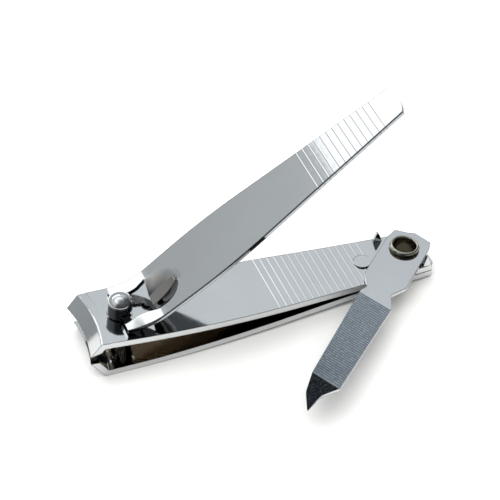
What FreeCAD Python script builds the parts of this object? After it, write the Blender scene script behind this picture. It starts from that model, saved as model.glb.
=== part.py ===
import FreeCAD, Part
import math
import os
import Sketcher

# Large lever nail clipper, in millimetres.
# Working frame: x runs from the jaw's front to the tail, y = 0 is the centre plane,
# z = 0 is the surface that the clipper rests on. Every sub-part is then placed in
# the row frame, whose origin is the lower mouth of the tail eyelet.

V = FreeCAD.Vector
Y_AXIS = V(0, 1, 0)
Z_AXIS = V(0, 0, 1)
REACH = 30.0    # longer than any cutting tool needs to be
MARGIN = 2.0    # how far a cutting tool runs past the metal
SINK = 0.4      # how deep a raised detail is rooted in the sheet below it
KEEL_MOUTH_RISE = 3      # how steeply the trough's open front runs up past the sheet
DOME_STEPS = (25, 45, 62, 76)      # degrees up the pin's dome where its outline has corners

SIZES = [
    # arms
    ("arm_length", 80.0),
    ("arm_sheet", 1.5),
    ("arm_half_front", 7.9),
    ("arm_half_crown", 9.1),
    ("arm_crown_x", 28.0),
    ("arm_crown_radius", 350.0),
    ("arm_half_tail", 5.7),
    ("tail_corner_radius", 1.2),
    # side shape of the upper arm: heights of its underside
    ("upper_front_x", 3.0),
    ("upper_front_z", 7.95),
    ("upper_mid_x", 40.0),
    ("upper_mid_z", 4.5),
    ("upper_tail_z", 2.06),
    # side shape of the lower arm: heights of its underside
    ("lower_flat_end_x", 14.0),
    ("lower_flat_end_radius", 200.0),
    ("lower_peak_x", 60.0),
    ("lower_peak_z", 1.1),
    ("lower_peak_radius", 150.0),
    ("lower_tail_z", 0.5),
    # jaws
    ("jaw_curve_radius", 32.0),
    ("jaw_edge_x", 1.0),
    ("upper_edge_z", 6.45),
    ("lower_edge_z", 4.5),
    ("upper_bend_x", 3.5),
    ("lower_bend_x", 3.9),
    ("jaw_root_x", 5.4),
    ("jaw_grind_angle", 12.0),
    ("jaw_span_angle", 44.0),
    ("lower_edge_lead", 0.05),
    ("upper_bend_radius", 0.5),
    ("upper_inner_radius", 0.4),
    ("lower_bend_radius", 1.6),
    ("lower_inner_radius", 0.6),
    # thumb ridges and boss of the upper arm
    ("ridge_first_x", 42.56),
    ("ridge_pitch", 1.6),
    ("ridge_count", 16),
    ("ridge_width", 0.26),
    ("ridge_height", 0.035),
    ("boss_x", 65.2),
    ("boss_radius", 2.0),
    ("boss_height", 0.35),
    # lugs that stop the file
    ("lug_far_x", 71.2),
    ("lug_near_x", 78.3),
    ("lug_length", 2.2),
    ("lug_sheet", 0.6),
    ("lug_inner_y", 5.15),
    ("lug_top_z", 6.9),
    ("lug_shoulder", 0.8),
    ("lug_point_radius", 0.2),
    # pivot pin
    ("pin_x", 9.2),
    ("pin_tilt", 5.0),
    ("pin_head_radius", 2.7),
    ("pin_neck_radius", 2.35),
    ("pin_neck_top", 0.12),
    ("pin_head_base", 0.3),
    ("pin_dome_base", 3.3),
    ("pin_dome_height", 1.9),
    ("pin_foot_radius", 3.0),
    ("pin_foot_sheet", 0.5),
    ("pin_foot_lift", 0.32),
    ("notch_low", 0.34),
    ("notch_high", 1.78),
    ("notch_wall", 0.66),
    ("running_gap", 0.06),
    ("recess_gap", 0.15),
    ("eyelet_gap", 0.2),
    ("rivet_gap", 0.02),
    ("upper_pin_hole", 2.75),
    # lever
    ("lever_angle", 33.6),
    ("lever_front_angle", 1.7),
    ("lever_sheet", 1.0),
    ("bar_x", 9.65),
    ("bar_z", 9.8),
    ("bar_width", 1.7),
    ("lever_bend_x", 14.1),
    ("lever_bend_radius", 15.7),
    ("lever_run", 68.9),
    ("lever_front_run", -10.0),
    ("lever_half_front", 6.6),
    ("lever_half_crown", 8.0),
    ("lever_crown_run", 20.0),
    ("lever_crown_radius", 150.0),
    ("lever_half_tip", 3.95),
    ("lever_tip_crown", 0.9),
    ("lever_tip_radius", 1.0),
    ("lever_tip_crown_radius", 6.0),
    ("window_rear_x", 16.3),
    ("window_half", 4.4),
    ("window_rear_step", 0.5),
    ("window_front_radius", 0.8),
    ("window_rear_radius", 1.2),
    ("keel_half_top", 5.0),
    ("keel_half_floor", 1.5),
    ("keel_front_z", 8.4),
    ("keel_front_top", 0.07),
    ("keel_rear_x", 22.4),
    ("keel_rear_half_floor", 0.3),
    ("keel_rear_half_top", 1.4),
    ("keel_rear_depth", 0.8),
    ("keel_wall_narrowing", 0.45),
    ("lever_ridge_run", 44.7),
    ("lever_ridge_pitch", 1.55),
    ("lever_ridge_count", 13),
    # tail eyelet and file
    ("eyelet_x", 74.9),
    ("eyelet_tilt", 4.3),
    ("eyelet_bore", 2.45),
    ("eyelet_barrel", 2.85),
    ("eyelet_rim", 3.35),
    ("eyelet_foot_sheet", 0.55),
    ("eyelet_top", 6.0),
    ("eyelet_rim_sheet", 1.0),
    ("eyelet_edge", 0.3),
    ("rest_drop", 0.25),
    ("file_low", 4.0),
    ("file_sheet", 0.9),
    ("file_turn", 43.5),
    ("file_grind_run", 46.0),
    ("file_grind_slope", 4.0),
    ("file_grind_skew", 12.3),
]


def make_sheet(doc):
    sheet = doc.addObject("Spreadsheet::Sheet", "Sizes")
    for row, (alias, value) in enumerate(SIZES, start=1):
        sheet.set("A%d" % row, alias)
        sheet.set("B%d" % row, repr(value))
        sheet.setAlias("B%d" % row, alias)
    doc.recompute()
    return sheet


doc = FreeCAD.newDocument("nail_clipper")
sheet = make_sheet(doc)


def size(alias):
    return float(sheet.get(alias))


ROW = FreeCAD.Placement(V(-size("eyelet_x"), 0, -size("rest_drop")), FreeCAD.Rotation())


# ---------------------------------------------------------------- shape helpers

def side(x, z):
    """A point of the side view, on the centre plane."""
    return V(x, 0, z)


def rounded_wire(corners):
    """Closed wire through corners, each given as (point, rounding radius)."""
    starts, ends, arcs = [], [], []
    count = len(corners)
    for index, (corner, radius) in enumerate(corners):
        back = (corners[index - 1][0] - corner).normalize()
        ahead = (corners[(index + 1) % count][0] - corner).normalize()
        half = back.getAngle(ahead) / 2
        if radius <= 0:
            starts.append(corner)
            ends.append(corner)
            arcs.append(None)
            continue
        reach = radius / math.tan(half)
        middle = (back + ahead).normalize()
        centre = corner + middle * (radius / math.sin(half))
        starts.append(corner + back * reach)
        ends.append(corner + ahead * reach)
        arcs.append(Part.Arc(starts[-1], centre - middle * radius, ends[-1]).toShape())
    edges = []
    for index in range(count):
        if arcs[index]:
            edges.append(arcs[index])
        edges.append(Part.makeLine(ends[index], starts[(index + 1) % count]))
    return Part.Wire(edges)


def slab(wire, direction):
    """Solid made by moving a closed flat wire along a direction."""
    return Part.Face(wire).extrude(direction)


def across(wire):
    """Side-view wire made into a slab that is wider than the clipper."""
    wire = wire.copy()
    wire.translate(V(0, -REACH / 2, 0))
    return slab(wire, V(0, REACH, 0))


def mirrored(corners):
    """Half outline (y > 0, given front to tail) completed with its mirror image."""
    other = [(V(p.x, -p.y, p.z), r) for p, r in reversed(corners)]
    return corners + other


def jaw_ring(wire):
    """Side-view wire swept round the jaws' vertical curve axis, which lies in front."""
    span = size("jaw_span_angle")
    axis = V(size("jaw_edge_x") - size("jaw_curve_radius"), 0, 0)
    face = Part.Face(wire)
    face.rotate(axis, Z_AXIS, -span / 2)
    return face.revolve(axis, Z_AXIS, span)


def jaw_clearance():
    """Round tool that removes everything ahead of the jaws' root."""
    radius = size("jaw_root_x") - size("jaw_edge_x") + size("jaw_curve_radius")
    axis = V(size("jaw_edge_x") - size("jaw_curve_radius"), 0, -REACH / 2)
    return Part.makeCylinder(radius, REACH, axis)


def arm_outline():
    """Plan of both arms as a tall block."""
    length = size("arm_length")
    half = [
        (V(-MARGIN, size("arm_half_front"), -MARGIN), 0),
        (V(size("arm_crown_x"), size("arm_half_crown"), -MARGIN), size("arm_crown_radius")),
        (V(length, size("arm_half_tail"), -MARGIN), size("tail_corner_radius")),
    ]
    return slab(rounded_wire(mirrored(half)), V(0, 0, REACH))


def upper_under(x):
    """Height of the upper arm's underside: a parabola through three driving points."""
    x0, x1, x2 = size("upper_front_x"), size("upper_mid_x"), size("arm_length")
    z0, z1, z2 = size("upper_front_z"), size("upper_mid_z"), size("upper_tail_z")
    first = (z1 - z0) / (x1 - x0)
    second = ((z2 - z1) / (x2 - x1) - first) / (x2 - x0)
    return z0 + first * (x - x0) + second * (x - x0) * (x - x1)


def upper_top(x):
    return upper_under(x) + size("arm_sheet")


def pin_frame():
    """Placement whose origin is on the upper arm's top and whose z is the pin's axis."""
    turn = FreeCAD.Rotation(Y_AXIS, size("pin_tilt"))
    return FreeCAD.Placement(V(size("pin_x"), 0, upper_top(size("pin_x"))), turn)


def eyelet_frame():
    """Placement whose origin is the eyelet's lower mouth and whose z is its axis."""
    turn = FreeCAD.Rotation(Y_AXIS, size("eyelet_tilt"))
    return FreeCAD.Placement(V(size("eyelet_x"), 0, size("rest_drop")), turn)


def bore(frame, radius, low, high):
    """Round tool along a frame's z axis between two heights."""
    tool = Part.makeCylinder(radius, high - low, V(0, 0, low))
    tool.Placement = frame
    return tool


def pin_foot_height():
    """Height, along the pin's axis, of the underside of its foot."""
    return (size("pin_foot_lift") - upper_top(size("pin_x"))) / math.cos(math.radians(size("pin_tilt")))


def publish(name, shape, placement):
    piece = doc.addObject("Part::Feature", name)
    piece.Label = name
    piece.Shape = shape.removeSplitter()
    piece.Placement = placement
    return piece


# ---------------------------------------------------------------- lower arm

def lower_strip():
    sheet_thick = size("arm_sheet")
    low = [
        (side(-MARGIN, 0), 0),
        (side(size("lower_flat_end_x"), 0), size("lower_flat_end_radius")),
        (side(size("lower_peak_x"), size("lower_peak_z")), size("lower_peak_radius")),
        (side(size("arm_length"), size("lower_tail_z")), 0),
    ]
    high = [(p + V(0, 0, sheet_thick), r) for p, r in reversed(low)]
    return across(rounded_wire(low + high))


def lower_jaw():
    """Upturned jaw: outer face, ground land behind the cutting edge, inner face."""
    thick = size("arm_sheet")
    bend = side(size("lower_bend_x"), 0)
    edge = side(size("jaw_edge_x") - size("lower_edge_lead"), size("lower_edge_z"))
    rise = (edge - bend).normalize()
    inward = V(rise.z, 0, -rise.x) * thick
    slope = math.tan(math.radians(size("jaw_grind_angle")))
    start = edge + inward
    run = (start.z - edge.z + slope * (start.x - edge.x)) / (rise.z - slope * rise.x)
    land_end = start - rise * run
    foot = start - rise * ((start.z - thick) / rise.z)
    root = size("jaw_root_x")
    return jaw_ring(rounded_wire([
        (edge, 0),
        (land_end, 0),
        (foot, size("lower_inner_radius")),
        (side(root, thick), 0),
        (side(root, 0), 0),
        (bend, size("lower_bend_radius")),
    ]))


def make_lower_arm():
    arm = lower_strip().cut(jaw_clearance()).fuse(lower_jaw()).common(arm_outline())
    foot = pin_foot_height()
    running, recess = size("running_gap"), size("recess_gap")
    foot_top = foot + size("pin_foot_sheet") + running
    holes = [
        bore(pin_frame(), size("pin_neck_radius") + running, foot, 0),
        bore(pin_frame(), size("pin_foot_radius") + recess, foot - MARGIN, foot_top),
        bore(eyelet_frame(), size("eyelet_barrel") + size("eyelet_gap"), -MARGIN, size("file_low")),
        bore(eyelet_frame(), size("eyelet_rim") + recess, -MARGIN, size("eyelet_foot_sheet") + recess),
    ]
    return publish("lower_arm", arm.cut(holes), ROW)


# ---------------------------------------------------------------- upper arm

def upper_strip():
    tail = size("arm_length")
    stations = (-MARGIN, (tail - MARGIN) / 2, tail)
    low = [side(x, upper_under(x)) for x in stations]
    high = [side(x, upper_top(x)) for x in stations]
    wire = Part.Wire([
        Part.Arc(*low).toShape(),
        Part.makeLine(low[-1], high[-1]),
        Part.Arc(*reversed(high)).toShape(),
        Part.makeLine(high[0], low[0]),
    ])
    return across(wire)


def upper_jaw():
    """Downturned jaw: bevelled outer face, ground land, inner face."""
    thick = size("arm_sheet")
    bend = side(size("upper_bend_x"), upper_top(size("upper_bend_x")))
    edge = side(size("jaw_edge_x"), size("upper_edge_z"))
    fall = (edge - bend).normalize()
    inward = V(-fall.z, 0, fall.x) * thick
    slope = math.tan(math.radians(size("jaw_grind_angle")))
    start = edge + inward
    run = (edge.z - start.z + slope * (start.x - edge.x)) / (slope * fall.x - fall.z)
    land_end = start - fall * run
    foot = start - fall * ((upper_under(size("upper_bend_x")) - start.z) / -fall.z)
    root = size("jaw_root_x")
    return jaw_ring(rounded_wire([
        (edge, 0),
        (bend, size("upper_bend_radius")),
        (side(root, upper_top(root)), 0),
        (side(root, upper_under(root)), 0),
        (foot, size("upper_inner_radius")),
        (land_end, 0),
    ]))


def arm_ridges():
    """Transverse thumb ridges with sloping flanks."""
    ridges = []
    width, height = size("ridge_width"), size("ridge_height")
    for index in range(int(size("ridge_count"))):
        x = size("ridge_first_x") + index * size("ridge_pitch")
        z = upper_top(x)
        wire = rounded_wire([
            (side(x - width / 2, z - SINK), 0),
            (side(x - width / 2, z), 0),
            (side(x - width / 5, z + height), 0),
            (side(x + width / 5, z + height), 0),
            (side(x + width / 2, z), 0),
            (side(x + width / 2, z - SINK), 0),
        ])
        ridges.append(across(wire))
    return Part.makeCompound(ridges).common(arm_outline())


def arm_boss():
    """Half-sheared round boss near the tail."""
    x = size("boss_x")
    base = upper_top(x) - SINK
    return Part.makeCylinder(size("boss_radius"), SINK + size("boss_height"), V(x, 0, base))


def lug(centre_x, direction):
    """Pointed lug standing on the arm's edge; direction is +1 on the far side."""
    half = size("lug_length") / 2
    floor_z = upper_top(centre_x) - SINK
    shoulder_z = upper_top(centre_x) + size("lug_shoulder")
    wire = rounded_wire([
        (side(centre_x - half, floor_z), 0),
        (side(centre_x + half, floor_z), 0),
        (side(centre_x + half * 3 / 4, shoulder_z), 0),
        (side(centre_x, size("lug_top_z")), size("lug_point_radius")),
        (side(centre_x - half * 3 / 4, shoulder_z), 0),
    ])
    wire.translate(V(0, direction * size("lug_inner_y"), 0))
    return slab(wire, V(0, direction * size("lug_sheet"), 0))


def make_upper_arm():
    arm = upper_strip().cut(jaw_clearance()).fuse(upper_jaw()).common(arm_outline())
    arm = arm.fuse([arm_ridges(), arm_boss(), lug(size("lug_far_x"), 1), lug(size("lug_near_x"), -1)])
    holes = [
        bore(pin_frame(), size("upper_pin_hole"), -2 * MARGIN, MARGIN),
        bore(eyelet_frame(), size("eyelet_barrel") + size("rivet_gap"), -MARGIN, size("eyelet_top") + MARGIN),
    ]
    return publish("upper_arm", arm.cut(holes), ROW)


# ---------------------------------------------------------------- lever

def lever_top_line():
    """Front end, bend corner and tip end of the lever's top, in the side view."""
    front = math.radians(size("lever_front_angle"))
    plate = math.radians(size("lever_angle"))
    along = V(math.cos(front), 0, math.sin(front))
    up = V(-math.sin(front), 0, math.cos(front))
    bar = side(size("bar_x"), size("bar_z"))
    start = bar - along * (size("bar_width") / 2) + up * (size("lever_sheet") / 2)
    corner = start + along * ((size("lever_bend_x") - start.x) / along.x)
    tip = corner + V(math.cos(plate), 0, math.sin(plate)) * size("lever_run")
    return start, corner, tip, up


def lever_strip():
    thick = size("lever_sheet")
    start, corner, tip, up = lever_top_line()
    plate = math.radians(size("lever_angle"))
    front = math.radians(size("lever_front_angle"))
    down_plate = V(math.sin(plate), 0, -math.cos(plate)) * thick
    half_turn = (plate - front) / 2
    middle = (plate + front) / 2
    down_middle = V(math.sin(middle), 0, -math.cos(middle)) * (thick / math.cos(half_turn))
    radius = size("lever_bend_radius")
    return across(rounded_wire([
        (start, 0),
        (corner, radius),
        (tip, 0),
        (tip + down_plate, 0),
        (corner + down_middle, radius + thick),
        (start - up * thick, 0),
    ]))


def lever_plan():
    """Outline of the lever seen square to its plate, as a deep block."""
    run = size("lever_run")
    tip_run = run - size("lever_tip_crown")
    half = [
        (V(size("lever_front_run"), size("lever_half_front"), -REACH), 0),
        (V(size("lever_crown_run"), size("lever_half_crown"), -REACH), size("lever_crown_radius")),
        (V(tip_run, size("lever_half_tip"), -REACH), size("lever_tip_radius")),
    ]
    corners = mirrored(half)
    corners.insert(len(half), (V(run, 0, -REACH), size("lever_tip_crown_radius")))
    block = slab(rounded_wire(corners), V(0, 0, 2 * REACH))
    corner = lever_top_line()[1]
    block.Placement = FreeCAD.Placement(corner, FreeCAD.Rotation(Y_AXIS, -size("lever_angle")))
    return block


def lever_window():
    front = size("bar_x") + size("bar_width") / 2
    rear = size("window_rear_x")
    half = size("window_half")
    rear_half = half - size("window_rear_step")
    corners = mirrored([
        (V(front, half, 0), size("window_front_radius")),
        (V(rear, rear_half, 0), size("window_rear_radius")),
    ])
    return slab(rounded_wire(corners), V(0, 0, REACH))


def keel_section(x, floor_half, floor_z, top_half, top_z):
    """Closed trapezoid across the lever at x."""
    return Part.makePolygon([
        V(x, -floor_half, floor_z),
        V(x, floor_half, floor_z),
        V(x, top_half, top_z),
        V(x, -top_half, top_z),
        V(x, -floor_half, floor_z),
    ])


def keel_block(front_x, lift, narrowing):
    """Pointed trough: a trapezoid at the window that narrows to the keel's rear end."""
    corner = lever_top_line()[1]
    plate = math.radians(size("lever_angle"))
    rear_x = size("keel_rear_x")
    rear_floor_z = corner.z + (rear_x - corner.x) * math.tan(plate) - size("lever_sheet") + lift
    rear_top_z = rear_floor_z + size("keel_rear_depth")
    front_top_z = corner.z + (size("keel_front_top") + lift) * KEEL_MOUTH_RISE
    front = keel_section(
        front_x,
        size("keel_half_floor") - narrowing,
        size("keel_front_z") + lift,
        size("keel_half_top") - narrowing,
        front_top_z,
    )
    rear = keel_section(
        rear_x,
        size("keel_rear_half_floor"),
        rear_floor_z,
        size("keel_rear_half_top"),
        rear_top_z,
    )
    return Part.makeLoft([front, rear], True, True)


def lever_ridges():
    """Thumb ridges near the lever's tip."""
    ridges = []
    corner = lever_top_line()[1]
    width, height = size("ridge_width"), size("ridge_height")
    tip_run = size("lever_run") - size("lever_tip_crown")
    taper = (size("lever_half_crown") - size("lever_half_tip")) / (tip_run - size("lever_crown_run"))
    for index in range(int(size("lever_ridge_count"))):
        run = size("lever_ridge_run") + index * size("lever_ridge_pitch")
        half = size("lever_half_tip") + (tip_run - run) * taper - height
        wire = rounded_wire([
            (V(run - width / 2, -half, -height), 0),
            (V(run - width / 5, -half, height), 0),
            (V(run + width / 5, -half, height), 0),
            (V(run + width / 2, -half, -height), 0),
        ])
        ridges.append(slab(wire, V(0, 2 * half, 0)))
    ridge_set = Part.makeCompound(ridges)
    ridge_set.Placement = FreeCAD.Placement(corner, FreeCAD.Rotation(Y_AXIS, -size("lever_angle")))
    return ridge_set


def make_lever():
    plate = lever_strip().common(lever_plan()).cut(lever_window())
    outer = keel_block(size("window_rear_x"), 0, 0)
    inner = keel_block(size("window_rear_x") - SINK, size("lever_sheet"), size("keel_wall_narrowing"))
    lever = plate.fuse(outer).cut(inner).fuse(lever_ridges())
    return publish("lever", lever, ROW)


# ---------------------------------------------------------------- turned parts

def turned_body(name, corners, placement):
    """PartDesign body turned about z from a half section of sheet-bound corners."""
    body = doc.addObject("PartDesign::Body", name)
    body.Label = name
    plane = [f for f in body.Origin.OriginFeatures if f.Role == "XZ_Plane"][0]
    axis = [f for f in body.Origin.OriginFeatures if f.Role == "Z_Axis"][0]
    sketch = body.newObject("Sketcher::SketchObject", name + "_section")
    sketch.AttachmentSupport = [(plane, "")]
    sketch.MapMode = "FlatFace"
    count = len(corners)
    points = [V(float(r[0]), float(z[0]), 0) for r, z in corners]
    for index in range(count):
        sketch.addGeometry(Part.LineSegment(points[index], points[(index + 1) % count]), False)
    for index in range(count):
        following = (index + 1) % count
        sketch.addConstraint(Sketcher.Constraint("Coincident", index, 2, following, 1))
    for index, (radius, height) in enumerate(corners):
        for kind, (value, rule) in (("DistanceX", radius), ("DistanceY", height)):
            number = sketch.addConstraint(Sketcher.Constraint(kind, -1, 1, index, 1, float(value)))
            sketch.setExpression("Constraints[%d]" % number, rule)
    turned = body.newObject("PartDesign::Revolution", name + "_turned")
    turned.Profile = sketch
    turned.ReferenceAxis = (axis, [""])
    turned.Angle = 360.0
    body.Placement = placement
    doc.recompute()
    return body


def bound(rule, value):
    """A section coordinate: its value now and the sheet rule that drives it."""
    return (value, rule)


def rule_of(alias):
    return bound("Sizes." + alias, size(alias))


def make_pivot_pin():
    foot = pin_foot_height()
    foot_rule = "(Sizes.pin_foot_lift - %r) / cos(Sizes.pin_tilt * 1 deg)" % upper_top(size("pin_x"))
    low = bound(foot_rule, foot)
    step = bound(foot_rule + " + Sizes.pin_foot_sheet", foot + size("pin_foot_sheet"))
    centre = bound("0", 0.0)
    crown = size("pin_dome_base") + size("pin_dome_height")
    corners = [
        (centre, low),
        (rule_of("pin_foot_radius"), low),
        (rule_of("pin_foot_radius"), step),
        (rule_of("pin_neck_radius"), step),
        (rule_of("pin_neck_radius"), rule_of("pin_neck_top")),
        (rule_of("pin_head_radius"), rule_of("pin_head_base")),
        (rule_of("pin_head_radius"), rule_of("pin_dome_base")),
    ]
    for degrees in DOME_STEPS:
        across_rule = "Sizes.pin_head_radius * cos(%d deg)" % degrees
        up_rule = "Sizes.pin_dome_base + Sizes.pin_dome_height * sin(%d deg)" % degrees
        angle = math.radians(degrees)
        corners.append((
            bound(across_rule, size("pin_head_radius") * math.cos(angle)),
            bound(up_rule, size("pin_dome_base") + size("pin_dome_height") * math.sin(angle)),
        ))
    corners.append((centre, bound("Sizes.pin_dome_base + Sizes.pin_dome_height", crown)))
    blank = turned_body("pin_blank", corners, FreeCAD.Placement())

    notch = doc.addObject("Part::Box", "pin_notch")
    notch.Width = REACH
    notch.Length = REACH
    notch.setExpression("Height", "(Sizes.notch_high - Sizes.notch_low) * 1 mm")
    notch.setExpression("Placement.Base.x", "-Sizes.notch_wall * 1 mm")
    notch.setExpression("Placement.Base.z", "Sizes.notch_low * 1 mm")
    notch.Placement.Base.y = -REACH / 2
    pin = doc.addObject("Part::Cut", "pivot_pin")
    pin.Label = "pivot_pin"
    pin.Base = blank
    pin.Tool = notch
    pin.Placement = ROW.multiply(pin_frame())
    return pin


def make_tail_eyelet():
    zero = bound("0", 0.0)
    foot = rule_of("eyelet_foot_sheet")
    rim_low = bound("Sizes.eyelet_top - Sizes.eyelet_rim_sheet", size("eyelet_top") - size("eyelet_rim_sheet"))
    edge = rule_of("eyelet_edge")
    rim_inset = bound("Sizes.eyelet_rim - Sizes.eyelet_edge", size("eyelet_rim") - size("eyelet_edge"))
    top_inset = bound("Sizes.eyelet_top - Sizes.eyelet_edge", size("eyelet_top") - size("eyelet_edge"))
    corners = [
        (rule_of("eyelet_bore"), zero),
        (rim_inset, zero),
        (rule_of("eyelet_rim"), edge),
        (rule_of("eyelet_rim"), foot),
        (rule_of("eyelet_barrel"), foot),
        (rule_of("eyelet_barrel"), rim_low),
        (rule_of("eyelet_rim"), rim_low),
        (rule_of("eyelet_rim"), top_inset),
        (rim_inset, rule_of("eyelet_top")),
        (rule_of("eyelet_bore"), rule_of("eyelet_top")),
    ]
    return turned_body("tail_eyelet", corners, ROW.multiply(eyelet_frame()))


# ---------------------------------------------------------------- file

def file_outline():
    """Outline in the file's own frame: pivot at the origin, blade along -x, folded."""
    return rounded_wire([
        (V(4.8, 4.1, 0), 0.4),
        (V(1.5, 4.75, 0), 0.4),
        (V(-11.9, 4.55, 0), 0.6),
        (V(-15.7, 2.4, 0), 1.0),
        (V(-17.4, 3.2, 0), 0.3),
        (V(-45.5, 2.3, 0), 8),
        (V(-51.2, 1.3, 0), 6),
        (V(-55.9, -1.1, 0), 0.15),
        (V(-50.8, -1.9, 0), 4.5),
        (V(-47.3, -4.6, 0), 0.3),
        (V(-19.8, -5.0, 0), 0.3),
        (V(-15.8, -3.2, 0), 0.8),
        (V(-12.2, -5.3, 0), 0.4),
        (V(2.6, -5.0, 0), 0.6),
        (V(4.6, -4.5, 0), 0.5),
        (V(5.9, -0.3, 0), 0.6),
        (V(5.3, 1.1, 0), 0.6),
    ])


def make_nail_file():
    plate = doc.addObject("Part::Feature", "file_plate")
    plate.Shape = slab(file_outline(), V(0, 0, size("file_sheet")))
    hole = doc.addObject("Part::Cylinder", "file_hole")
    hole.Height = REACH
    hole.setExpression("Radius", "(Sizes.eyelet_barrel + Sizes.running_gap) * 1 mm")
    hole.Placement.Base.z = -REACH / 2
    drilled = doc.addObject("Part::Cut", "file_drilled")
    drilled.Base = plate
    drilled.Tool = hole

    # the cleaner tip is ground down from a skewed line to a thin point
    grind = doc.addObject("Part::Box", "file_grind")
    grind.Length = REACH
    grind.Width = REACH
    grind.Height = MARGIN
    skew = FreeCAD.Rotation(Z_AXIS, -size("file_grind_skew"))
    slope = FreeCAD.Rotation(Y_AXIS, -size("file_grind_slope"))
    line = FreeCAD.Placement(V(-size("file_grind_run"), 0, size("file_sheet")), skew.multiply(slope))
    grind.Placement = line.multiply(FreeCAD.Placement(V(-REACH, -REACH / 2, 0), FreeCAD.Rotation()))
    nail_file = doc.addObject("Part::Cut", "nail_file")
    nail_file.Label = "nail_file"
    nail_file.Base = drilled
    nail_file.Tool = grind
    swung = FreeCAD.Placement(V(0, 0, size("file_low")), FreeCAD.Rotation(Z_AXIS, size("file_turn")))
    nail_file.Placement = ROW.multiply(eyelet_frame()).multiply(swung)
    return nail_file


# ---------------------------------------------------------------- build and write

def check(pieces):
    for item in doc.Objects:
        if "Invalid" in item.State or "Error" in item.State:
            raise RuntimeError("failed object: " + item.Name)
    for piece in pieces:
        shape = piece.Shape
        if shape.isNull() or not shape.isValid() or len(shape.Solids) != 1:
            raise RuntimeError("bad shape: %s, %d solids" % (piece.Label, len(shape.Solids)))
        box = shape.BoundBox
        print("%-12s volume %8.2f  x %7.2f %7.2f  y %7.2f %7.2f  z %6.2f %6.2f" % (
            piece.Label, shape.Volume, box.XMin, box.XMax, box.YMin, box.YMax, box.ZMin, box.ZMax))


pieces = [
    make_lower_arm(),
    make_upper_arm(),
    make_lever(),
    make_pivot_pin(),
    make_tail_eyelet(),
    make_nail_file(),
]
doc.recompute()
check(pieces)
os.makedirs("parts", exist_ok=True)
for piece in pieces:
    piece.Shape.exportStep("parts/%s.step" % piece.Label)
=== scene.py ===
import math

import bmesh
import bpy
from mathutils import Matrix, Vector


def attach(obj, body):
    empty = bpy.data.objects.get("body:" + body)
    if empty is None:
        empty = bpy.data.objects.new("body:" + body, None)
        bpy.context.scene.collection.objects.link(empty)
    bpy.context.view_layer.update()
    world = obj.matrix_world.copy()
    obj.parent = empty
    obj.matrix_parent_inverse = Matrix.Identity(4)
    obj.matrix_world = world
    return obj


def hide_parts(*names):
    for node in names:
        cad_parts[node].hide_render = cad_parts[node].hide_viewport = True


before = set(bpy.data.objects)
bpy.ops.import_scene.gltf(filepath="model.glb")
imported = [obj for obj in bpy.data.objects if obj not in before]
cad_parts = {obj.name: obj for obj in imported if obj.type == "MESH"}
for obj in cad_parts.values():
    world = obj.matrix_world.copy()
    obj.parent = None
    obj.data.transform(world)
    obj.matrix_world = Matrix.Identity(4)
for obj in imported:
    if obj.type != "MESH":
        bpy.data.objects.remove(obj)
bpy.context.view_layer.update()

# Large lever nail clipper. Lengths below are in millimetres in the clipper's own frame:
# x from the jaw's front to the tail, y = 0 the centre plane, z = 0 the resting surface.
# point() turns them into the row frame, in metres. Angles are in degrees unless a line
# turns them into radians.
MM = 0.001
EYELET_X = 74.9      # the row frame's origin lies here
REST_DROP = 0.25
JAW_ROOT_X = 5.4
EYELET_TILT = 4.3
EYELET_SEGMENTS = 96
CAD_EDGE = 0.05      # rounding of the arms' and the file's edges

# nail file: distances from the pivot, square to the teeth
FILE_TURN = 43.5
CUT_SKEW = -15.0
CUT_START = -17.9
CUT_END = -44.3
BAND_BLUR = 0.15
TIP_BLUR = 0.1
CUT_PITCH = 0.62
CUT_WANDER = 0.10
CREST_NARROWING = 2.5

# pivot pin
PIN_X = 9.2
PIN_ARM_TOP = 8.792
PIN_TILT = 5.0
PIN_HEAD = 2.7
PIN_FOOT_LIFT = 0.32
PIN_SEGMENTS = 72
PIN_CREASE = 22
PIN_EDGE = 0.06
PIN_EDGE_ANGLE = 40
DOME_BASE = 3.3
DOME_HEIGHT = 1.9
NOTCH_LOW = (-0.66, -6, 0.34)
NOTCH_HIGH = (6, 6, 1.78)

# lever: side shape
SHEET = 1.0
FRONT_ANGLE = math.radians(1.7)
PLATE_ANGLE = math.radians(33.6)
PLATE_NORMAL = (-math.sin(PLATE_ANGLE), 0, math.cos(PLATE_ANGLE))
BAR = (9.65, 9.8)
BAR_WIDTH = 1.7
BEND_X = 14.1
BEND_RADIUS = 15.7
PLATE_RUN = 68.9
LEVER_CREASE = 24
LEVER_EDGE = 0.03

# lever: outline, as half widths at distances (runs) along the plate
FRONT_RUN = -10               # where the front half width holds
LEVER_HALF_FRONT = 6.6
LEVER_HALF_CROWN = 8.0        # where the two tapers would meet
LEVER_HALF_TIP = 3.95
LEVER_CROWN_RUN = 20.0
LEVER_CROWN_RADIUS = 150.0
TIP_RADIUS = 1.0
TIP_CROWN = 0.9
LEVER_FLARE = math.atan((LEVER_HALF_CROWN - LEVER_HALF_FRONT) / (LEVER_CROWN_RUN - FRONT_RUN))
LEVER_TAPER = math.atan((LEVER_HALF_CROWN - LEVER_HALF_TIP) / (PLATE_RUN - TIP_CROWN - LEVER_CROWN_RUN))
LEVER_CROWN_REACH = LEVER_CROWN_RADIUS * math.tan((LEVER_FLARE + LEVER_TAPER) / 2)

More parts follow.
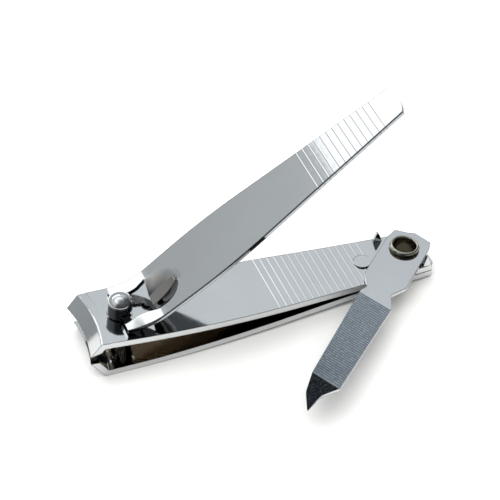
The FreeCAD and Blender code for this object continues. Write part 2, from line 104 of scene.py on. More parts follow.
# lever: window and keel trough
WINDOW_REAR = 16.3
KEEL_RIM_HALF = 4.85          # half width of the rim at the window
KEEL_HALF_FLOOR = 1.4
KEEL_DEPTH = 2.0
KEEL_RISE = 0.55              # share of the depth that is lost towards the closed end
KEEL_FLOOR_SHORT = 0.35       # how far the floor stops before the rim's end
ARCH_SHARE = 0.25             # share of the rows ahead of the arch
ARCH_X = 18.0
ARCH_LENGTH = 4.05
ARCH_HALF = 4.95
ARCH_TURN = math.radians(76)
ARCH_FULLNESS = 0.9
KEEL_END_X = ARCH_X + ARCH_LENGTH
NEAR_WALL_CURVE = 0.8
FAR_WALL_CURVE = 1.8
FAR_WALL_FADE = 0.7

# lever: rows, columns and rings of its mesh
KEEL_ROWS = 22
WALL_SHARES = (1.0, 0.96, 0.86, 0.72, 0.55, 0.38, 0.2, 0.06)      # from rim to floor
FLOOR_SHARES = (-1.0, -0.8, 0.0, 0.8, 1.0)
KEEL_STATIONS = (
    [("near", share) for share in WALL_SHARES]
    + [("floor", share) for share in FLOOR_SHARES]
    + [("far", share) for share in reversed(WALL_SHARES)]
)
COLUMNS = len(KEEL_STATIONS) - 1
RINGS = 9
WINDOW_STEPS = 10
FRONT_STEPS = 12
SURROUND_END_X = 30.0         # where the rings round the opening end
SURROUND_SPREAD = 1.4
PLATE_STEP = 1.4
RIDGE_RUN = 44.7
RIDGE_PITCH = 1.55
RIDGE_COUNT = 13
RIDGE_HEIGHT = 0.010
RIDGE_PROFILE = ((-0.18, 0), (-0.10, 0), (-0.04, RIDGE_HEIGHT), (0.04, RIDGE_HEIGHT), (0.10, 0), (0.18, 0))
TIP_STEPS = (0, 15, 30, 45, 60, 72, 82, 90)      # degrees round the tip's corners
TIP_GUARDS = (1.2, 0.4)       # rows ahead of the tip's corners

# tones of painted shade and dark reflection on the lever's surface, in the keel trough, read by its
# material: 0 is the bright plate, 1 black
PLATE_TONE = 0.0
FLOOR_TONE = 0.42
FAR_TONE = 0.8
NEAR_TONE = 1.0
HOLLOW_SHADES = (
    (PLATE_TONE, (1, 1, 1)),
    (FLOOR_TONE, (0.62, 0.57, 0.53)),
    (FAR_TONE, (0.22, 0.23, 0.24)),
    (NEAR_TONE, (0.03, 0.03, 0.035)),
)

# colours of parts of the surfaces
# painted shade between the arms, on their faces behind the jaw that face each other
ARM_GAP_SHADE = (0.37, 0.335, 0.285)
# the lever's cut sides: partly their own duller sheared finish, partly painted shade
LEVER_FLANK = (0.43, 0.45, 0.48)
# painted dark reflection along the top of the lever's cut sides
LEVER_EDGE_REFLECTION = (0.04, 0.045, 0.05)
# painted shade under the lever
LEVER_UNDERSIDE_SHADE = (0.07, 0.075, 0.08)
# painted shade on the upright sides of the pin and the eyelet
PIN_SIDE_SHADE = (0.10, 0.105, 0.115)
EYELET_SIDE_SHADE = (0.19, 0.17, 0.125)
# painted dark reflection along edges that look sideways
DARK_EDGE_REFLECTION = (0.05, 0.055, 0.06)
# painted shade in the file's grooves and painted highlight on its crests
CUT_GROOVE_SHADE = (0.205, 0.24, 0.275)
CUT_CREST_HIGHLIGHT = (0.66, 0.70, 0.74)
TIP_DARK = (0.014, 0.016, 0.019)
TIP_PALE = (0.16, 0.175, 0.19)

# where a paint fades in and is full, by one part of the surface's normal
ARM_LEVEL = (0.985, 0.993)
TURNED_UPRIGHT = (0.55, 0.15)
LEVER_CUT_SIDE = (0.55, 0.7)
LEVER_BELOW = (-0.1, -0.4)
FILE_FLAT = (0.9, 0.97)
EDGE_SIDEWAYS = (0.15, 0.35)
EDGE_TURNED = (0.985, 0.93)   # dot product of the rounded and the real normal

# fine structure of the plating: noise is (scale, detail), its scale for one metre, or for
# one millimetre on the file; depths are in metres
POLISH_NOISE = (900.0, 5.0)
POLISH_SPAN = (0.3, 0.7)
POLISH_DEPTH = 0.00002
GLOSS_SPREAD = 0.3            # share by which the roughness wanders
CLOUD_NOISE = (90.0, 3.0)
CLOUD_SPAN = (0.35, 0.65)
CLOUD_DIMMING = 0.97
WANDER_NOISE = (1.4, 4.0)
CHIP_NOISE = (2.6, 6.0)
CHIP_SPAN = (0.33, 0.66)
SMEAR_SPAN = (0.5, 0.8)
TOOTH_DEPTH = 0.00004
TOOTH_RELIEF = 0.35
TOOTH_ROUGHNESS = 0.22
# size, samples and strength of the painted dark edge reflection
EDGE_LINE_RADIUS = 0.34
EDGE_LINE_SAMPLES = 6
EDGE_LINE_STRENGTH = 0.9
# band of painted dark reflection along the top of the lever's cut sides
EDGE_REFLECTION_WIDTH = 0.4
EDGE_REFLECTION_BLUR = 0.04

# studio, in metres
FLOOR_REACH = 6.0
FLOOR_COLOUR = (0.87, 0.86, 0.832, 1)
SKY_TINT = (0.945, 1, 1.03)
SKY_TONES = (      # (sine of the height above the horizon, brightness); the first holds below it
    (0.0, 0.40), (0.2, 0.47), (0.44, 0.53), (0.52, 0.66), (0.645, 0.89),
    (0.68, 0.89), (0.78, 0.60), (0.87, 1.5), (0.95, 1.5), (1.0, 0.9),
)
SKY_LEAN = -0.6               # the sky's dark side lies towards -y and +x
SKY_TURN = 0.35
SKY_DARK = 0.14
SOFTBOX_HEIGHT = 1.0
SOFTBOX_WEST, SOFTBOX_EAST, SOFTBOX_SOUTH, SOFTBOX_NORTH = -0.8615, 0.38, 0.92, 1.6
SOFTBOX_POWER = 3.35          # watts for each square metre
KEY_POWER = 5.6
FILL_SIZE = 2.4
FILL_ENERGY = 31.5
FILL_PLACE = (0.1, -0.1, 1.1)

# camera
AZIMUTH = math.radians(-21.654)
ELEVATION = math.radians(42.611)
TARGET = (44.32, 14.07, 3.01)
DISTANCE = 0.461
LENS = 149.8
SENSOR = 36.0


# ---------------------------------------------------------------- meshes

def point(x, y, z):
    return Vector(((x - EYELET_X) * MM, y * MM, (z - REST_DROP) * MM))


def link(thing):
    bpy.context.scene.collection.objects.link(thing)
    return thing


def mesh_object(name, vertices, faces, smooth=True, tones=None):
    mesh = bpy.data.meshes.new(name)
    mesh.from_pydata([tuple(v) for v in vertices], [], faces)
    if tones:
        # per-vertex tones of painted shade, read by the lever's material
        hollow_shade = mesh.attributes.new("hollow_shade", "FLOAT", "POINT")
        hollow_shade.data.foreach_set("value", tones)
    work = bmesh.new()
    work.from_mesh(mesh)
    bmesh.ops.remove_doubles(work, verts=work.verts, dist=1e-7)
    bmesh.ops.recalc_face_normals(work, faces=work.faces)
    work.to_mesh(mesh)
    work.free()
    mesh.polygons.foreach_set("use_smooth", [smooth] * len(mesh.polygons))
    return link(bpy.data.objects.new(name, mesh))


def bevel(piece, width, angle=35.0):
    """Rounded edges that catch the light."""
    soft = piece.modifiers.new("edges", "BEVEL")
    soft.width = width * MM
    soft.segments = 3
    soft.limit_method = "ANGLE"
    soft.angle_limit = math.radians(angle)
    soft.harden_normals = True
    soft.use_clamp_overlap = True


def dress(piece, material):
    piece.data.materials.clear()
    piece.data.materials.append(material)


# ---------------------------------------------------------------- shader nodes
# Each function adds one node to a tree and returns its output. A value is a number,
# a vector or another node's output.

def connect(tree, socket, value):
    if isinstance(value, bpy.types.NodeSocket):
        tree.links.new(value, socket)
    else:
        socket.default_value = value


def opaque(colour):
    return tuple(colour) + (1,)


def rescale(tree, value, low, high, to_low=0.0, to_high=1.0, interpolation="LINEAR"):
    """Value between low and high, moved to the range between to_low and to_high."""
    node = tree.nodes.new("ShaderNodeMapRange")
    node.interpolation_type = interpolation
    for name, setting in (
        ("Value", value), ("From Min", low), ("From Max", high), ("To Min", to_low), ("To Max", to_high),
    ):
        connect(tree, node.inputs[name], setting)
    return node.outputs["Result"]


def calculate(tree, operation, *values):
    node = tree.nodes.new("ShaderNodeMath")
    node.operation = operation
    for socket, value in zip(node.inputs, values):
        connect(tree, socket, value)
    return node.outputs["Value"]


def dot_product(tree, first, second):
    node = tree.nodes.new("ShaderNodeVectorMath")
    node.operation = "DOT_PRODUCT"
    connect(tree, node.inputs[0], first)
    connect(tree, node.inputs[1], second)
    return node.outputs["Value"]


def axes(tree, vector):
    """Outputs X, Y and Z of a vector."""
    node = tree.nodes.new("ShaderNodeSeparateXYZ")
    connect(tree, node.inputs["Vector"], vector)
    return node.outputs


def noise(tree, vector, scale, detail):
    node = tree.nodes.new("ShaderNodeTexNoise")
    node.inputs["Scale"].default_value = scale
    node.inputs["Detail"].default_value = detail
    connect(tree, node.inputs["Vector"], vector)
    return node.outputs["Fac"]


def mix(tree, share, first, second, blend="MIX"):
    node = tree.nodes.new("ShaderNodeMixRGB")
    node.blend_type = blend
    connect(tree, node.inputs["Fac"], share)
    connect(tree, node.inputs["Color1"], first)
    connect(tree, node.inputs["Color2"], opaque(second) if isinstance(second, tuple) else second)
    return node.outputs["Color"]


def colour_ramp(tree, value, stops):
    """Colours through (position, colour) stops, in rising order."""
    node = tree.nodes.new("ShaderNodeValToRGB")
    while len(node.color_ramp.elements) < len(stops):
        node.color_ramp.elements.new(0.5)
    for element, (position, colour) in zip(node.color_ramp.elements, stops):
        element.position = position
        element.color = opaque(colour)
    connect(tree, node.inputs["Fac"], value)
    return node.outputs["Color"]


def two_stops(span, low, high):
    return (span[0], low), (span[1], high)


def relief(tree, height, strength, distance):
    node = tree.nodes.new("ShaderNodeBump")
    node.inputs["Strength"].default_value = strength
    node.inputs["Distance"].default_value = distance
    connect(tree, node.inputs["Height"], height)
    return node.outputs["Normal"]


# ---------------------------------------------------------------- materials

def dark_edge_reflections(tree, base):
    """Painted dark reflection: a thin dark line along the edges of faces that look sideways."""
    rounded = tree.nodes.new("ShaderNodeBevel")
    rounded.samples = EDGE_LINE_SAMPLES
    rounded.inputs["Radius"].default_value = EDGE_LINE_RADIUS * MM
    surface = tree.nodes.new("ShaderNodeNewGeometry")
    same = dot_product(tree, rounded.outputs["Normal"], surface.outputs["Normal"])
    near_edge = rescale(tree, same, *EDGE_TURNED, 0.0, EDGE_LINE_STRENGTH)
    sideways = calculate(tree, "ABSOLUTE", axes(tree, rounded.outputs["Normal"])["Y"])
    line = calculate(tree, "MULTIPLY", near_edge, rescale(tree, sideways, *EDGE_SIDEWAYS))
    return mix(tree, line, base, DARK_EDGE_REFLECTION)


def shaded_gap(side):
    """Painted shade between the arms: a strip whose faces that look up (side 1) or down (side -1), behind
    the jaw, are painted a darker and warmer grey."""
    def paint(tree, place, base):
        facing = axes(tree, place.outputs["Normal"])["Z"]
        mask = rescale(tree, facing, ARM_LEVEL[0] * side, ARM_LEVEL[1] * side)
        along = axes(tree, place.outputs["Object"])["X"]
        behind = calculate(tree, "GREATER_THAN", along, (JAW_ROOT_X - EYELET_X) * MM)
        return mix(tree, calculate(tree, "MULTIPLY", mask, behind), base, ARM_GAP_SHADE)
    return paint


def shaded_sides(colour):
    """Painted shade for a turned piece: its upright faces are painted darker."""
    def paint(tree, place, base):
        upright = rescale(tree, axes(tree, place.outputs["Normal"])["Z"], *TURNED_UPRIGHT)
        return mix(tree, upright, base, colour)
    return paint


def stamped_and_shaded(tree, place, base):
    """Paint for the lever: grey cut sides, partly their own duller sheared finish and partly painted
    shade, with a painted dark reflection line along their top, painted shade on the underside, and painted
    shade and dark reflection on the keel's walls and floor by their tones."""
    facing = axes(tree, place.outputs["Normal"])
    sideways = calculate(tree, "ABSOLUTE", facing["Y"])
    cut_side = rescale(tree, calculate(tree, "MAXIMUM", sideways, facing["X"]), *LEVER_CUT_SIDE)
    height = dot_product(tree, place.outputs["Object"], PLATE_NORMAL)
    line_foot = point(BEND_X, 0, CORNER_Z).dot(Vector(PLATE_NORMAL)) - EDGE_REFLECTION_WIDTH * MM
    upper = rescale(tree, height, line_foot - EDGE_REFLECTION_BLUR * MM, line_foot + EDGE_REFLECTION_BLUR * MM)
    colour = mix(tree, cut_side, base, LEVER_FLANK)
    colour = mix(tree, calculate(tree, "MULTIPLY", upper, cut_side), colour, LEVER_EDGE_REFLECTION)
    colour = mix(tree, rescale(tree, facing["Z"], *LEVER_BELOW), colour, LEVER_UNDERSIDE_SHADE)
    hollow_shade = tree.nodes.new("ShaderNodeAttribute")
    hollow_shade.attribute_name = "hollow_shade"
    shade = colour_ramp(tree, hollow_shade.outputs["Fac"], HOLLOW_SHADES)
    return mix(tree, 1.0, colour, shade, "MULTIPLY")


def chrome(name, colour, rough, paint=None, bump=0.05):
    """Plated steel: mirror with faint polishing marks and uneven gloss, and a painted dark reflection line
    along its edges.
    paint is a function that gives the colour of parts of the surface, chiefly painted shade."""
    material = bpy.data.materials.new(name)
    material.use_nodes = True
    tree = material.node_tree
    shader = tree.nodes["Principled BSDF"]
    shader.inputs["Metallic"].default_value = 1.0
    place = tree.nodes.new("ShaderNodeTexCoord")
    marks = noise(tree, place.outputs["Object"], *POLISH_NOISE)
    clouds = noise(tree, place.outputs["Object"], *CLOUD_NOISE)
    gloss = rescale(tree, marks, *POLISH_SPAN, rough * (1 - GLOSS_SPREAD), rough * (1 + GLOSS_SPREAD))
    connect(tree, shader.inputs["Roughness"], gloss)
    dimmer = [c * CLOUD_DIMMING for c in colour]
    base = colour_ramp(tree, clouds, two_stops(CLOUD_SPAN, dimmer, colour))
    if paint:
        base = paint(tree, place, base)
    connect(tree, shader.inputs["Base Color"], dark_edge_reflections(tree, base))
    if bump:
        connect(tree, shader.inputs["Normal"], relief(tree, marks, bump, POLISH_DEPTH))
    return material


def file_steel(name, colour, rough):
    """Chrome with a band of fine cross-cut teeth along the blade, painted with shade in the grooves and a
    highlight on the crests, and a dark ground tip.
    """
    material = chrome(name, colour, rough, bump=0)
    tree = material.node_tree
    shader = tree.nodes["Principled BSDF"]
    plain = shader.inputs["Base Color"].links[0].from_socket
    gloss = shader.inputs["Roughness"].links[0].from_socket

    # along is in millimetres, square to the teeth
    place = tree.nodes.new("ShaderNodeTexCoord")
    blade = tree.nodes.new("ShaderNodeMapping")
    blade.inputs["Rotation"].default_value = (0, 0, -math.radians(FILE_TURN + CUT_SKEW))
    blade.inputs["Scale"].default_value = (1 / MM, 1 / MM, 1 / MM)
    connect(tree, blade.inputs["Vector"], place.outputs["Object"])
    along = axes(tree, blade.outputs["Vector"])["X"]
    level = calculate(tree, "ABSOLUTE", axes(tree, place.outputs["Normal"])["Z"])
    flat = rescale(tree, level, *FILE_FLAT)
    after_head = rescale(tree, along, CUT_START, CUT_START - BAND_BLUR)
    before_tip = rescale(tree, along, CUT_END, CUT_END + BAND_BLUR)
    band = calculate(tree, "MULTIPLY", calculate(tree, "MULTIPLY", after_head, before_tip), flat)
    past_cut = rescale(tree, along, CUT_END + TIP_BLUR, CUT_END - TIP_BLUR)
    tip = calculate(tree, "MULTIPLY", past_cut, flat)

    # teeth: a wave whose crests wander and chip
    wander = calculate(tree, "MULTIPLY", noise(tree, blade.outputs["Vector"], *WANDER_NOISE), CUT_WANDER)
    phase = calculate(tree, "MULTIPLY", calculate(tree, "ADD", along, wander), 2 * math.pi / CUT_PITCH)
    wave = calculate(tree, "ADD", calculate(tree, "SINE", phase), 1)
    teeth = calculate(tree, "POWER", calculate(tree, "MULTIPLY", wave, 0.5), CREST_NARROWING)
    chips = noise(tree, blade.outputs["Vector"], *CHIP_NOISE)
    crest = calculate(tree, "MULTIPLY", teeth, rescale(tree, chips, *CHIP_SPAN))

    # painted shade in the grooves, painted highlight on the crests
    cut_colour = colour_ramp(tree, crest, two_stops((0.0, 1.0), CUT_GROOVE_SHADE, CUT_CREST_HIGHLIGHT))
    tip_colour = colour_ramp(tree, chips, two_stops(SMEAR_SPAN, TIP_DARK, TIP_PALE))
    base = mix(tree, tip, mix(tree, band, plain, cut_colour), tip_colour)
    connect(tree, shader.inputs["Base Color"], base)
    rougher = calculate(tree, "ADD", gloss, calculate(tree, "MULTIPLY", band, TOOTH_ROUGHNESS))
    connect(tree, shader.inputs["Roughness"], rougher)
    carved = relief(tree, calculate(tree, "MULTIPLY", crest, band), TOOTH_RELIEF, TOOTH_DEPTH)
    connect(tree, shader.inputs["Normal"], carved)
    return material


# ---------------------------------------------------------------- lever

def lever_corner():
    """Front end of the lever's top line and the height of the corner where it bends up."""
    along = (math.cos(FRONT_ANGLE), math.sin(FRONT_ANGLE))
    start_x = BAR[0] - along[0] * BAR_WIDTH / 2 - along[1] * SHEET / 2
    start_z = BAR[1] - along[1] * BAR_WIDTH / 2 + along[0] * SHEET / 2
    corner_z = start_z + (BEND_X - start_x) * math.tan(FRONT_ANGLE)
    return start_x, start_z, corner_z


START_X, START_Z, CORNER_Z = lever_corner()
WINDOW_FRONT = START_X + BAR_WIDTH
BEND_REACH = BEND_RADIUS * math.tan((PLATE_ANGLE - FRONT_ANGLE) / 2)
ARC_X = BEND_X - BEND_REACH * math.cos(FRONT_ANGLE)
ARC_Z = CORNER_Z - BEND_REACH * math.sin(FRONT_ANGLE)
RISE_X = BEND_X + BEND_REACH * math.cos(PLATE_ANGLE)
WINDOW_OUTLINE = (      # (x, half width), front to rear
    (WINDOW_FRONT, 4.2), (12.4, 3.6), (14.0, 3.8), (15.75, 4.5), (WINDOW_REAR, KEEL_RIM_HALF),
)


def lever_height(x):
    """Height of the lever's top at x: flat front, bend, straight plate."""
    if x <= ARC_X:
        return START_Z + (x - START_X) * math.tan(FRONT_ANGLE)
    if x >= RISE_X:
        return CORNER_Z + (x - BEND_X) * math.tan(PLATE_ANGLE)
    centre_x = ARC_X - BEND_RADIUS * math.sin(FRONT_ANGLE)
    centre_z = ARC_Z + BEND_RADIUS * math.cos(FRONT_ANGLE)
    return centre_z - math.sqrt(BEND_RADIUS ** 2 - (x - centre_x) ** 2)


def on_lever(x, y, lift=0.0):
    return point(x, y, lever_height(x) + lift)


def plate_run(x):
    """Distance along the plate, from the bend corner, of the top point at x."""
    return (x - BEND_X) * math.cos(PLATE_ANGLE) + (lever_height(x) - CORNER_Z) * math.sin(PLATE_ANGLE)


def lever_half(run):
    """Half width of the lever: two straight tapers joined by a long arc at the crown."""
    turn_start = LEVER_CROWN_RUN - LEVER_CROWN_REACH * math.cos(LEVER_FLARE)
    turn_end = LEVER_CROWN_RUN + LEVER_CROWN_REACH * math.cos(LEVER_TAPER)
    if run <= turn_start:
        return LEVER_HALF_CROWN + (run - LEVER_CROWN_RUN) * math.tan(LEVER_FLARE)
    if run >= turn_end:
        return LEVER_HALF_CROWN - (run - LEVER_CROWN_RUN) * math.tan(LEVER_TAPER)
    start_half = LEVER_HALF_CROWN - LEVER_CROWN_REACH * math.sin(LEVER_FLARE)
    centre_run = turn_start + LEVER_CROWN_RADIUS * math.sin(LEVER_FLARE)
    centre_half = start_half - LEVER_CROWN_RADIUS * math.cos(LEVER_FLARE)
    return centre_half + math.sqrt(LEVER_CROWN_RADIUS ** 2 - (run - centre_run) ** 2)


def outline(x, side=1):
    """Point (x, y) of the lever's outline on one side."""
    return x, side * lever_half(plate_run(x))


def window_half(x):
    """Half width of the opening ahead of the keel."""
    for (x0, w0), (x1, w1) in zip(WINDOW_OUTLINE, WINDOW_OUTLINE[1:]):
        if x <= x1:
            share = (x - x0) / (x1 - x0)
            return w0 + (w1 - w0) * (3 * share ** 2 - 2 * share ** 3)
    return WINDOW_OUTLINE[-1][1]


def keel_rim(row):
    """Point (x, half width) of the keel's rim, which closes in an arch."""
    share = row / KEEL_ROWS
    if share < ARCH_SHARE:
        x = WINDOW_REAR + (ARCH_X - WINDOW_REAR) * share / ARCH_SHARE
        return x, KEEL_RIM_HALF + (ARCH_HALF - KEEL_RIM_HALF) * share / ARCH_SHARE
    turn = (share - ARCH_SHARE) / (1 - ARCH_SHARE) * ARCH_TURN
    return ARCH_X + ARCH_LENGTH * math.sin(turn), ARCH_HALF * math.cos(turn) ** ARCH_FULLNESS


def across(column):
    """Place of a column across the lever, from -1 to 1."""
    return 2 * column / COLUMNS - 1


def keel_end(column):
    """Point (x, y) of the rim's closed end."""
    last_x, last_half = keel_rim(KEEL_ROWS)
    return last_x + (KEEL_END_X - last_x) * (1 - across(column) ** 2), across(column) * last_half


class Net:
    """A mesh in the making: each vertex has a key and a tone of painted shade."""

    def __init__(self):
        self.vertices, self.faces, self.tones, self.index = [], [], [], {}

    def vertex(self, key, place, tone=PLATE_TONE):
        if key not in self.index:
            self.index[key] = len(self.vertices)
            self.vertices.append(place)
            self.tones.append(tone)

    def face(self, *keys):
        self.faces.append([self.index[key] for key in keys])

    def grid(self, name, rows):
        """Faces between rows of vertices, each as wide as the lever's columns."""
        for row in range(rows):
            for column in range(COLUMNS):
                self.face(
                    (name, row, column), (name, row, column + 1),
                    (name, row + 1, column + 1), (name, row + 1, column),
                )


def add_keel(net):
    """Trough: rows run from the window's rear edge to the closed end of the rim."""
    for row in range(KEEL_ROWS + 1):
        rim_x, rim_half = keel_rim(row)
        share = row / KEEL_ROWS
        floor_x = WINDOW_REAR + (KEEL_END_X - KEEL_FLOOR_SHORT - WINDOW_REAR) * share
        floor_half = KEEL_HALF_FLOOR * (1 - share ** 3) ** 0.5
        depth = KEEL_DEPTH * (1 - KEEL_RISE * share) * (1 - share ** 6) ** 0.5
        # tones paint the trough's shade and dark reflections: the floor tone on the floor, the near wall
        # black below its rim, the far wall darkest at the floor and fading towards its rim and the closed
        # end
        for column, (part, station) in enumerate(KEEL_STATIONS):
            key = ("keel", row, column)
            if row == KEEL_ROWS:
                net.vertex(key, on_lever(*keel_end(column)))
            elif part == "floor":
                net.vertex(key, on_lever(floor_x, station * floor_half, -depth), FLOOR_TONE)
            else:
                x = floor_x + (rim_x - floor_x) * station
                y = floor_half + (rim_half - floor_half) * station
                if part == "near":
                    drop = (1 - station) ** NEAR_WALL_CURVE
                    tone = NEAR_TONE if station < 1 else PLATE_TONE
                    net.vertex(key, on_lever(x, -y, -depth * drop), tone)
                else:
                    drop = (1 - station) ** FAR_WALL_CURVE
                    tone = FAR_TONE * (1 - station) ** FAR_WALL_FADE * (1 - share ** 2)
                    net.vertex(key, on_lever(x, y, -depth * drop), tone)
    net.grid("keel", KEEL_ROWS)


def add_surround(net):
    """Plate around the opening: rings from the opening's edge to the lever's outline."""
    loop = []      # (key, point on the opening's edge, point on the outline), all the way round

    def beside_keel(row, column, side):
        x, half = keel_rim(row)
        outer_x = WINDOW_REAR + (SURROUND_END_X - WINDOW_REAR) * (row / KEEL_ROWS) ** SURROUND_SPREAD
        loop.append((("keel", row, column), (x, side * half), outline(outer_x, side)))

    def beside_window(step, side):
        share = step / WINDOW_STEPS
        x = WINDOW_REAR + (WINDOW_FRONT - WINDOW_REAR) * share
        outer_x = WINDOW_REAR + (START_X - WINDOW_REAR) * share
        loop.append((("window", side, step), (x, side * window_half(x)), outline(outer_x, side)))

    for row in range(KEEL_ROWS + 1):
        beside_keel(row, COLUMNS, 1)
    for column in range(COLUMNS - 1, -1, -1):
        outer = outline(SURROUND_END_X, across(column))
        loop.append((("keel", KEEL_ROWS, column), keel_end(column), outer))
    for row in range(KEEL_ROWS - 1, -1, -1):
        beside_keel(row, 0, -1)
    for step in range(1, WINDOW_STEPS + 1):
        beside_window(step, -1)
    for step in range(1, FRONT_STEPS):
        place = 2 * step / FRONT_STEPS - 1
        inner = (WINDOW_FRONT, place * window_half(WINDOW_FRONT))
        loop.append((("bar", step), inner, outline(START_X, place)))
    for step in range(WINDOW_STEPS, 0, -1):
        beside_window(step, 1)

    def ring_key(number, ring):
        number %= len(loop)
        return ("ring", number, ring) if ring else loop[number][0]

    for number, (key, inner, outer) in enumerate(loop):
        for ring in range(RINGS + 1):
            share = ring / RINGS
            x = inner[0] + (outer[0] - inner[0]) * share
            y = inner[1] + (outer[1] - inner[1]) * share
            net.vertex(ring_key(number, ring), on_lever(x, y))
    for number in range(len(loop)):
        for ring in range(RINGS):
            net.face(
                ring_key(number, ring), ring_key(number + 1, ring),
                ring_key(number + 1, ring + 1), ring_key(number, ring + 1),
            )


def add_plate(net):
    """Plain plate, thumb ridges and rounded tip: rows of (run, height above the plate)."""
    rows = [(plate_run(SURROUND_END_X), 0)]
    run = rows[0][0] + PLATE_STEP
    while run < RIDGE_RUN - 1:
        rows.append((run, 0))
        run += PLATE_STEP
    for ridge in range(RIDGE_COUNT):
        middle = RIDGE_RUN + ridge * RIDGE_PITCH
        rows += [(middle + offset, height) for offset, height in RIDGE_PROFILE]
    tip_start = PLATE_RUN - TIP_RADIUS
    rows += [(tip_start - guard, 0) for guard in TIP_GUARDS]
    rows += [(tip_start + TIP_RADIUS * math.sin(math.radians(angle)), 0) for angle in TIP_STEPS]
    for number, (run, height) in enumerate(rows):
        past = max(0.0, run - tip_start)
        half = lever_half(run) - TIP_RADIUS + math.sqrt(max(0, TIP_RADIUS ** 2 - past ** 2))
        pull = past / TIP_RADIUS * TIP_CROWN
        for column in range(COLUMNS + 1):
            y = across(column) * half
            along = run - pull * (y / LEVER_HALF_TIP) ** 2
            x = BEND_X + along * math.cos(PLATE_ANGLE)
            net.vertex(("plate", number, column), on_lever(x, y, height / math.cos(PLATE_ANGLE)))
    net.grid("plate", len(rows) - 1)


def make_lever():
    """Pressed strip with a window at its front and a pointed keel trough behind it."""
    net = Net()
    add_keel(net)
    add_surround(net)
    add_plate(net)
    lever = mesh_object("lever_plate", net.vertices, net.faces, tones=net.tones)
    largest = max(lever.data.polygons, key=lambda p: p.area)
    if largest.normal.z < 0:
        lever.data.flip_normals()
    solid = lever.modifiers.new("sheet", "SOLIDIFY")
    solid.thickness = SHEET * MM
    solid.offset = -1
    solid.use_even_offset = True
    solid.use_quality_normals = True
    lever.data.set_sharp_from_angle(angle=math.radians(LEVER_CREASE))
    bevel(lever, LEVER_EDGE, LEVER_CREASE)
    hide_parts("lever")
    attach(lever, "lever")
    return lever


# ---------------------------------------------------------------- turned pieces

def turned(name, profile, place, segments, ring):
    """Profile of (radius, height) turned about the place's z axis; a ring's profile is closed."""
    vertices, faces = [], []
    count = len(profile)
    for segment in range(segments):
        angle = 2 * math.pi * segment / segments
        for radius, height in profile:
            local = Vector((radius * math.cos(angle), radius * math.sin(angle), height)) * MM
            vertices.append(place @ local)
    for segment in range(segments):
        ahead = (segment + 1) % segments
        for number in range(count if ring else count - 1):
            following = (number + 1) % count
            faces.append([
                segment * count + number, ahead * count + number,
                ahead * count + following, segment * count + following,
            ])
    return mesh_object(name, vertices, faces)


def make_eyelet():
    """Brass tube with a rolled rim at the top and a flat foot below."""
    profile = [
        (2.45, 0.25), (2.55, 0.06), (2.8, 0.0), (3.1, 0.0), (3.28, 0.1), (3.35, 0.3), (3.2, 0.5),
        (2.95, 0.55), (2.85, 0.7), (2.85, 4.9), (2.95, 5.0), (3.15, 5.02), (3.3, 5.15), (3.35, 5.4),
        (3.32, 5.65), (3.2, 5.86), (3.02, 5.98), (2.82, 6.0), (2.65, 5.9), (2.53, 5.72), (2.46, 5.4),
        (2.45, 5.0),
    ]
    tilt = Matrix.Rotation(math.radians(EYELET_TILT), 4, "Y")
    eyelet = turned("eyelet_ring", profile, tilt, EYELET_SEGMENTS, True)
    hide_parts("tail_eyelet")
    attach(eyelet, "upper_arm")
    return eyelet


def cut(piece, tool):
    """Removes the tool's volume from the piece for good."""
    remove = piece.modifiers.new("cut", "BOOLEAN")
    remove.operation = "DIFFERENCE"
    remove.solver = "EXACT"
    remove.object = tool
    bpy.context.view_layer.update()
    shape = piece.evaluated_get(bpy.context.evaluated_depsgraph_get())
    mesh = bpy.data.meshes.new_from_object(shape)
    piece.modifiers.clear()
    piece.data = mesh
    bpy.data.objects.remove(tool)


def block(name, low, high, place):
    """Closed box between two corners, used as a cutting tool."""
    corners = [(x, y, z) for x in (low[0], high[0]) for y in (low[1], high[1]) for z in (low[2], high[2])]
    faces = [[0, 1, 3, 2], [4, 6, 7, 5], [0, 4, 5, 1], [2, 3, 7, 6], [0, 2, 6, 4], [1, 5, 7, 3]]
    return mesh_object(name, [place @ (Vector(c) * MM) for c in corners], faces, False)


def make_pin():
    """Bullet head on a notched neck, with a flat foot under the lower arm.
    Heights are along the tilted axis, from the upper arm's top."""
    foot = (PIN_FOOT_LIFT - PIN_ARM_TOP) / math.cos(math.radians(PIN_TILT))
    profile = [
        (0.0, foot), (2.7, foot), (2.92, foot + 0.06), (3.0, foot + 0.2), (2.96, foot + 0.44),
        (2.9, foot + 0.5), (2.4, foot + 0.5), (2.35, foot + 0.56), (2.35, 0.12), (2.4, 0.2), (2.62, 0.27),
        (2.7, 0.38), (2.7, 3.18), (2.65, 3.25), (2.67, 3.32),
    ]
    for degrees in range(5, 90, 5):
        turn = math.radians(degrees)
        profile.append((PIN_HEAD * math.cos(turn), DOME_BASE + DOME_HEIGHT * math.sin(turn)))
    profile.append((0.0, DOME_BASE + DOME_HEIGHT))
    tilt = Matrix.Rotation(math.radians(PIN_TILT), 4, "Y")
    place = Matrix.Translation(point(PIN_X, 0, PIN_ARM_TOP)) @ tilt
    pin = turned("pivot_pin_turned", profile, place, PIN_SEGMENTS, False)
    cut(pin, block("notch", NOTCH_LOW, NOTCH_HIGH, place))
    pin.data.set_sharp_from_angle(angle=math.radians(PIN_CREASE))
    bevel(pin, PIN_EDGE, PIN_EDGE_ANGLE)
    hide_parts("pivot_pin")
    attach(pin, "pivot_pin")
    return pin


# ---------------------------------------------------------------- studio

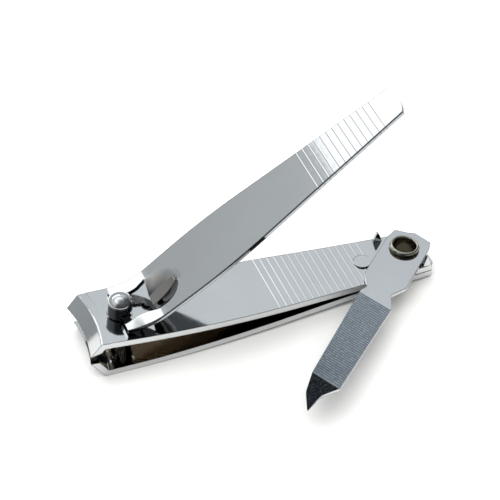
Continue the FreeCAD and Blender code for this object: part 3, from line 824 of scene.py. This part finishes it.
def make_floor():
    low = -REST_DROP * MM
    reach = FLOOR_REACH
    corners = [(-reach, -reach, low), (reach, -reach, low), (reach, reach, low), (-reach, reach, low)]
    floor = mesh_object("floor", corners, [[0, 1, 2, 3]], False)
    paint = bpy.data.materials.new("floor_paint")
    paint.use_nodes = True
    shader = paint.node_tree.nodes["Principled BSDF"]
    shader.inputs["Base Color"].default_value = FLOOR_COLOUR
    shader.inputs["Roughness"].default_value = 0.9
    shader.inputs["Specular IOR Level"].default_value = 0.1
    dress(floor, paint)


def make_sky():
    """Surround that the chrome mirrors: bands of brightness by height, darker on one side."""
    world = bpy.data.worlds.new("studio")
    bpy.context.scene.world = world
    world.use_nodes = True
    tree = world.node_tree
    background = tree.nodes["Background"]
    place = tree.nodes.new("ShaderNodeTexCoord")
    direction = axes(tree, place.outputs["Generated"])
    stops = [(height, [tone * tint for tint in SKY_TINT]) for height, tone in SKY_TONES]
    bands = colour_ramp(tree, direction["Z"], stops)
    lean = calculate(tree, "MULTIPLY_ADD", direction["X"], SKY_LEAN, direction["Y"])
    shade = rescale(tree, lean, -SKY_TURN, SKY_TURN, SKY_DARK, 1.0, "SMOOTHSTEP")
    connect(tree, background.inputs["Color"], mix(tree, 1.0, bands, shade, "MULTIPLY"))
    background.inputs["Strength"].default_value = 1.0


def area_lamp(name, width, depth, energy, location, mirrored):
    """Soft light that points straight down; only a mirrored one shows in reflections."""
    light = bpy.data.lights.new(name, "AREA")
    light.shape = "RECTANGLE"
    light.size = width
    light.size_y = depth
    light.energy = energy
    lamp = bpy.data.objects.new(name, light)
    lamp.location = location
    lamp.visible_glossy = mirrored
    link(lamp)


def make_lamps():
    width = (SOFTBOX_EAST - SOFTBOX_WEST) * SOFTBOX_HEIGHT
    depth = (SOFTBOX_NORTH - SOFTBOX_SOUTH) * SOFTBOX_HEIGHT
    centre = (
        (SOFTBOX_WEST + SOFTBOX_EAST) / 2 * SOFTBOX_HEIGHT,
        (SOFTBOX_SOUTH + SOFTBOX_NORTH) / 2 * SOFTBOX_HEIGHT,
        SOFTBOX_HEIGHT,
    )
    area_lamp("softbox", width, depth, SOFTBOX_POWER * width * depth, centre, True)
    # the same window again, only for the shadows on the floor
    area_lamp("key", width, depth, KEY_POWER * width * depth, centre, False)
    # wide fill that lights the floor
    area_lamp("fill", FILL_SIZE, FILL_SIZE, FILL_ENERGY, FILL_PLACE, False)


def make_camera():
    level = math.cos(ELEVATION)
    back = Vector((math.sin(AZIMUTH) * level, -math.cos(AZIMUTH) * level, math.sin(ELEVATION)))
    lens = bpy.data.cameras.new("camera")
    lens.lens = LENS
    lens.sensor_width = SENSOR
    camera = bpy.data.objects.new("camera", lens)
    camera.location = point(*TARGET) + back * DISTANCE
    camera.rotation_mode = "QUATERNION"
    camera.rotation_quaternion = (-back).to_track_quat("-Z", "Y")
    bpy.context.scene.camera = link(camera)


# ---------------------------------------------------------------- assembly

ARM_CHROME = (0.61, 0.62, 0.63)
# the arms' faces between them, behind the jaw, get painted shade
for node, material in (
    ("lower_arm", chrome("lower_arm_chrome", ARM_CHROME, 0.08, shaded_gap(1))),
    ("upper_arm", chrome("upper_arm_chrome", ARM_CHROME, 0.08, shaded_gap(-1))),
    ("nail_file", file_steel("file_chrome_look", (0.60, 0.61, 0.625), 0.10)),
):
    dress(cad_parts[node], material)
    bevel(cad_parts[node], CAD_EDGE)
dress(make_lever(), chrome("lever_chrome_look", (0.60, 0.605, 0.61), 0.05, stamped_and_shaded))
# the pin's and the eyelet's upright sides get painted shade
dress(make_pin(), chrome("pin_chrome_look", (0.66, 0.665, 0.67), 0.04, shaded_sides(PIN_SIDE_SHADE)))
dress(make_eyelet(), chrome("eyelet_brass_look", (0.50, 0.475, 0.41), 0.18, shaded_sides(EYELET_SIDE_SHADE), 0.15))

make_floor()
make_sky()
make_lamps()
make_camera()
bpy.context.scene.view_settings.view_transform = "Standard"

bpy.context.view_layer.update()
